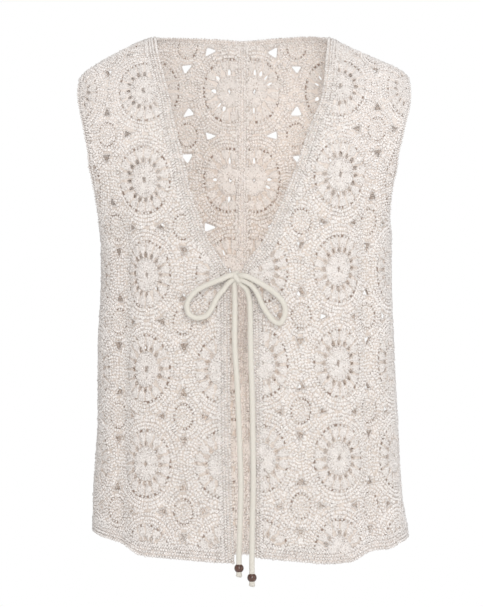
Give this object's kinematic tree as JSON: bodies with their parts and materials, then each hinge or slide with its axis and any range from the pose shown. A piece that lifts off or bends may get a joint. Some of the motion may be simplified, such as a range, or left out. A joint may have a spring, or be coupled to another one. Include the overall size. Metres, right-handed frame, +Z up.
{
  "type": "crochet vest",
  "caption": "Sleeveless crochet vest with a deep V neck, round lace motifs and a cord bow with wooden beads, filled out as worn.",
  "frame": {"origin": "the wearer's shoulders, on the middle of the body at the height of the shoulder seams' middles", "axes": "+Z up, the front faces -Y, +X is the wearer's left"},
  "size_m": [0.3711, 0.2398, 0.6085],
  "materials": {
    "crochet": "matte cream cotton crochet",
    "cord": "matte ivory braided cotton cord",
    "bead": "dark polished wood"
  },
  "bodies": {
    "root": {"front_panel_left": "crochet", "back_panel_left": "crochet", "front_panel_right": "crochet", "back_panel_right": "crochet", "front_edging_left": "crochet", "back_neck_edging_left": "crochet", "front_armhole_edging_left": "crochet", "back_armhole_edging_left": "crochet", "front_hem_band_left": "crochet", "back_hem_band_left": "crochet", "front_edging_right": "crochet", "back_neck_edging_right": "crochet", "front_armhole_edging_right": "crochet", "back_armhole_edging_right": "crochet", "front_hem_band_right": "crochet", "back_hem_band_right": "crochet", "centre_back_seam": "crochet", "tie_root_left": "cord", "tie_loop_left": "cord", "tie_end_left": "cord", "tie_root_right": "cord", "tie_loop_right": "cord", "tie_end_right": "cord", "bow_knot": "cord", "end_knot_left": "cord", "end_knot_right": "cord", "bead_left": "bead", "bead_right": "bead"}
  },
  "joints": []
}
